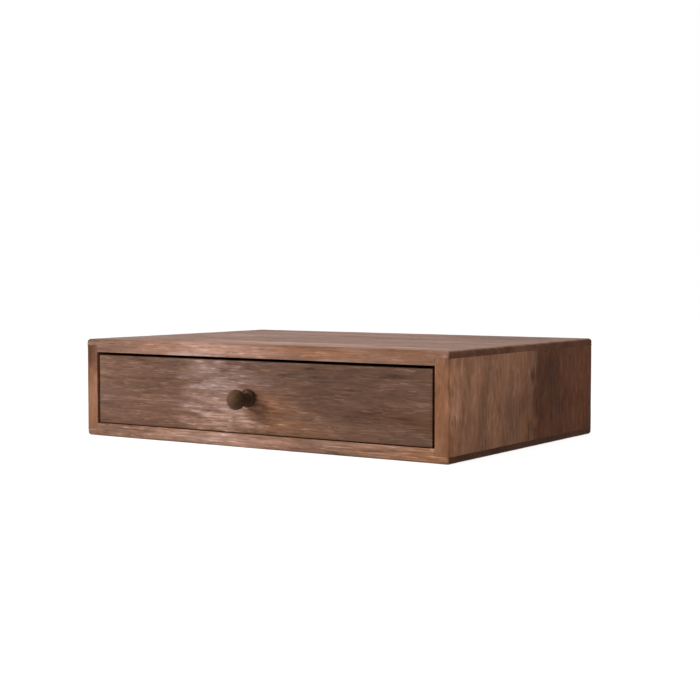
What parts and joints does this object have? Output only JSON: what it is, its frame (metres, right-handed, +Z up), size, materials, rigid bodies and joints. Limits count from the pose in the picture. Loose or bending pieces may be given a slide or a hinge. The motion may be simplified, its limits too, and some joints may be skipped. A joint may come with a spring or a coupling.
{
  "type": "desk organizer with drawer",
  "caption": "Low rectangular wooden desk organizer: a case of rabbeted boards with an inset sliding drawer pulled by a small turned knob.",
  "frame": {"origin": "middle of the case's underside, on the surface that it stands on", "axes": "+X along the width, to the right seen from the front; +Y towards the rear, so the drawer opens towards -Y; +Z up"},
  "size_m": [0.26, 0.1965, 0.06],
  "materials": {
    "case_wood": "oiled, open grain",
    "drawer_front_wood": "oiled, open grain",
    "drawer_box_wood": "sanded, unsealed",
    "thin_panel": "sanded plywood",
    "knob_wood": "turned, dark stain, satin",
    "fastener_steel": "bright zinc"
  },
  "bodies": {
    "case": {"top_board": "case_wood", "bottom_board": "case_wood", "left_side_board": "case_wood", "right_side_board": "case_wood", "back_panel": "thin_panel", "back_panel_brads": "fastener_steel", "case_corner_pins": "fastener_steel"},
    "drawer": {"drawer_front": "drawer_front_wood", "drawer_left_side": "drawer_box_wood", "drawer_right_side": "drawer_box_wood", "drawer_back": "drawer_box_wood", "drawer_bottom": "thin_panel", "drawer_corner_brads": "fastener_steel", "drawer_bottom_brads": "fastener_steel", "knob": "knob_wood", "knob_screw": "fastener_steel"}
  },
  "joints": [
    {"name": "drawer_slide", "type": "slide", "parent": "case", "child": "drawer", "axis": [0, -1, 0], "range_m": [0, 0.14]}
  ]
}
